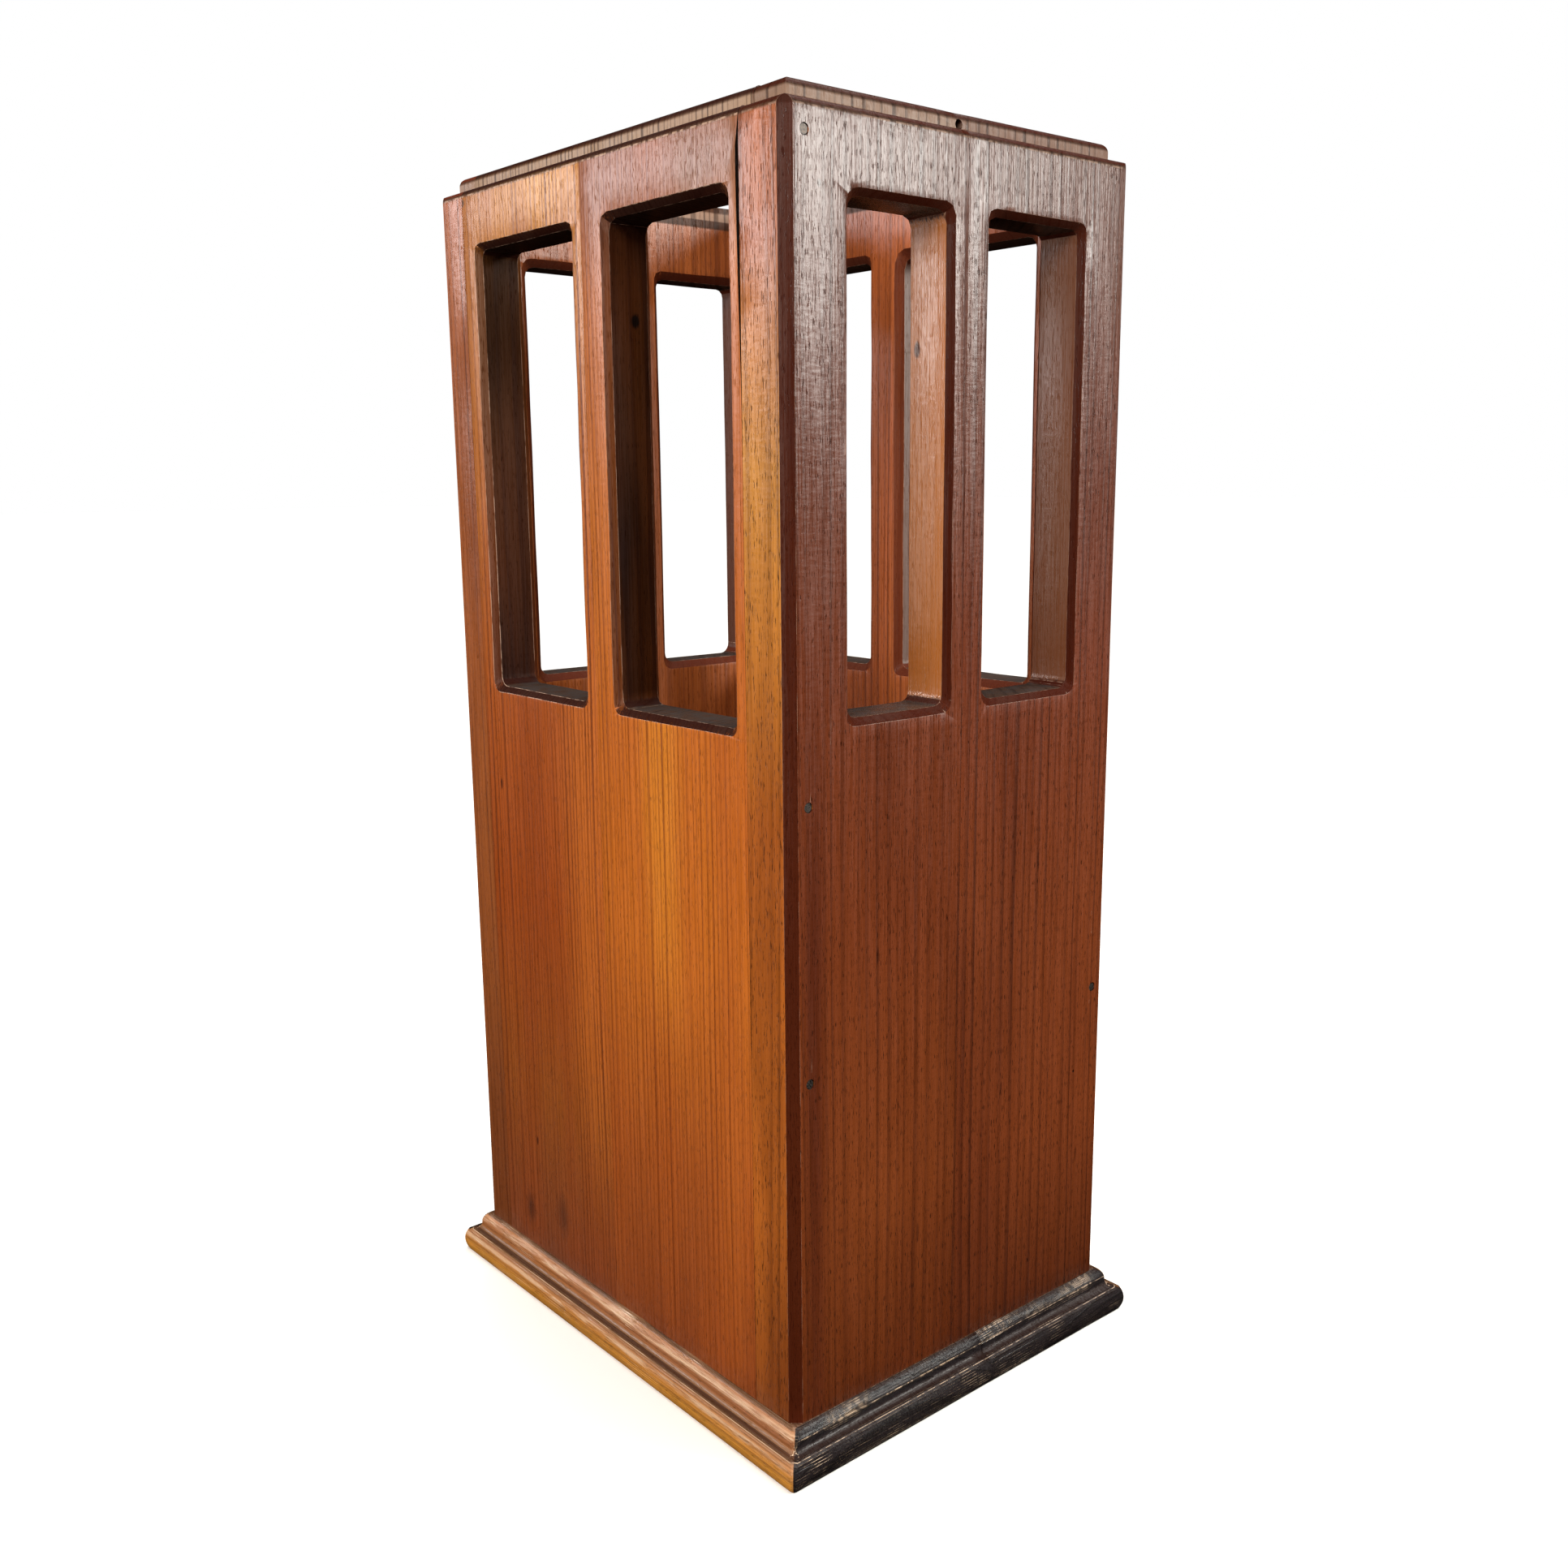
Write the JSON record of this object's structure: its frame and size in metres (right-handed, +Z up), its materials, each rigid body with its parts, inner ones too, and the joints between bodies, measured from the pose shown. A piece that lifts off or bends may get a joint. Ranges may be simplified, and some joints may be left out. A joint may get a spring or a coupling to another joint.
{
  "type": "umbrella stand",
  "caption": "Tall open-topped rectangular wooden umbrella stand with slotted upper walls, a stepped top edge and a moulded base board.",
  "frame": {"origin": "on the floor under the middle of the base", "axes": "+Z up, X left to right across the narrow front, +Y from the front wall to the back wall"},
  "size_m": [0.24, 0.3, 0.6],
  "materials": {
    "front_boards": "dark stained softwood, glossy varnish",
    "back_boards": "dark stained softwood, glossy varnish",
    "left_boards": "orange-brown stained softwood, satin varnish",
    "right_boards": "dark stained softwood, satin varnish",
    "base_boards": "ochre stained softwood, worn satin varnish",
    "nail_steel": "dull dark steel, stained over"
  },
  "bodies": {
    "root": {"front_stave_left": "front_boards", "front_stave_right": "front_boards", "back_stave_left": "back_boards", "back_stave_right": "back_boards", "left_stave_front": "left_boards", "left_stave_back": "left_boards", "right_stave_front": "right_boards", "right_stave_back": "right_boards", "base_board_left": "base_boards", "base_board_right": "base_boards", "front_nails": "nail_steel", "back_nails": "nail_steel", "base_nails": "nail_steel"}
  },
  "joints": []
}
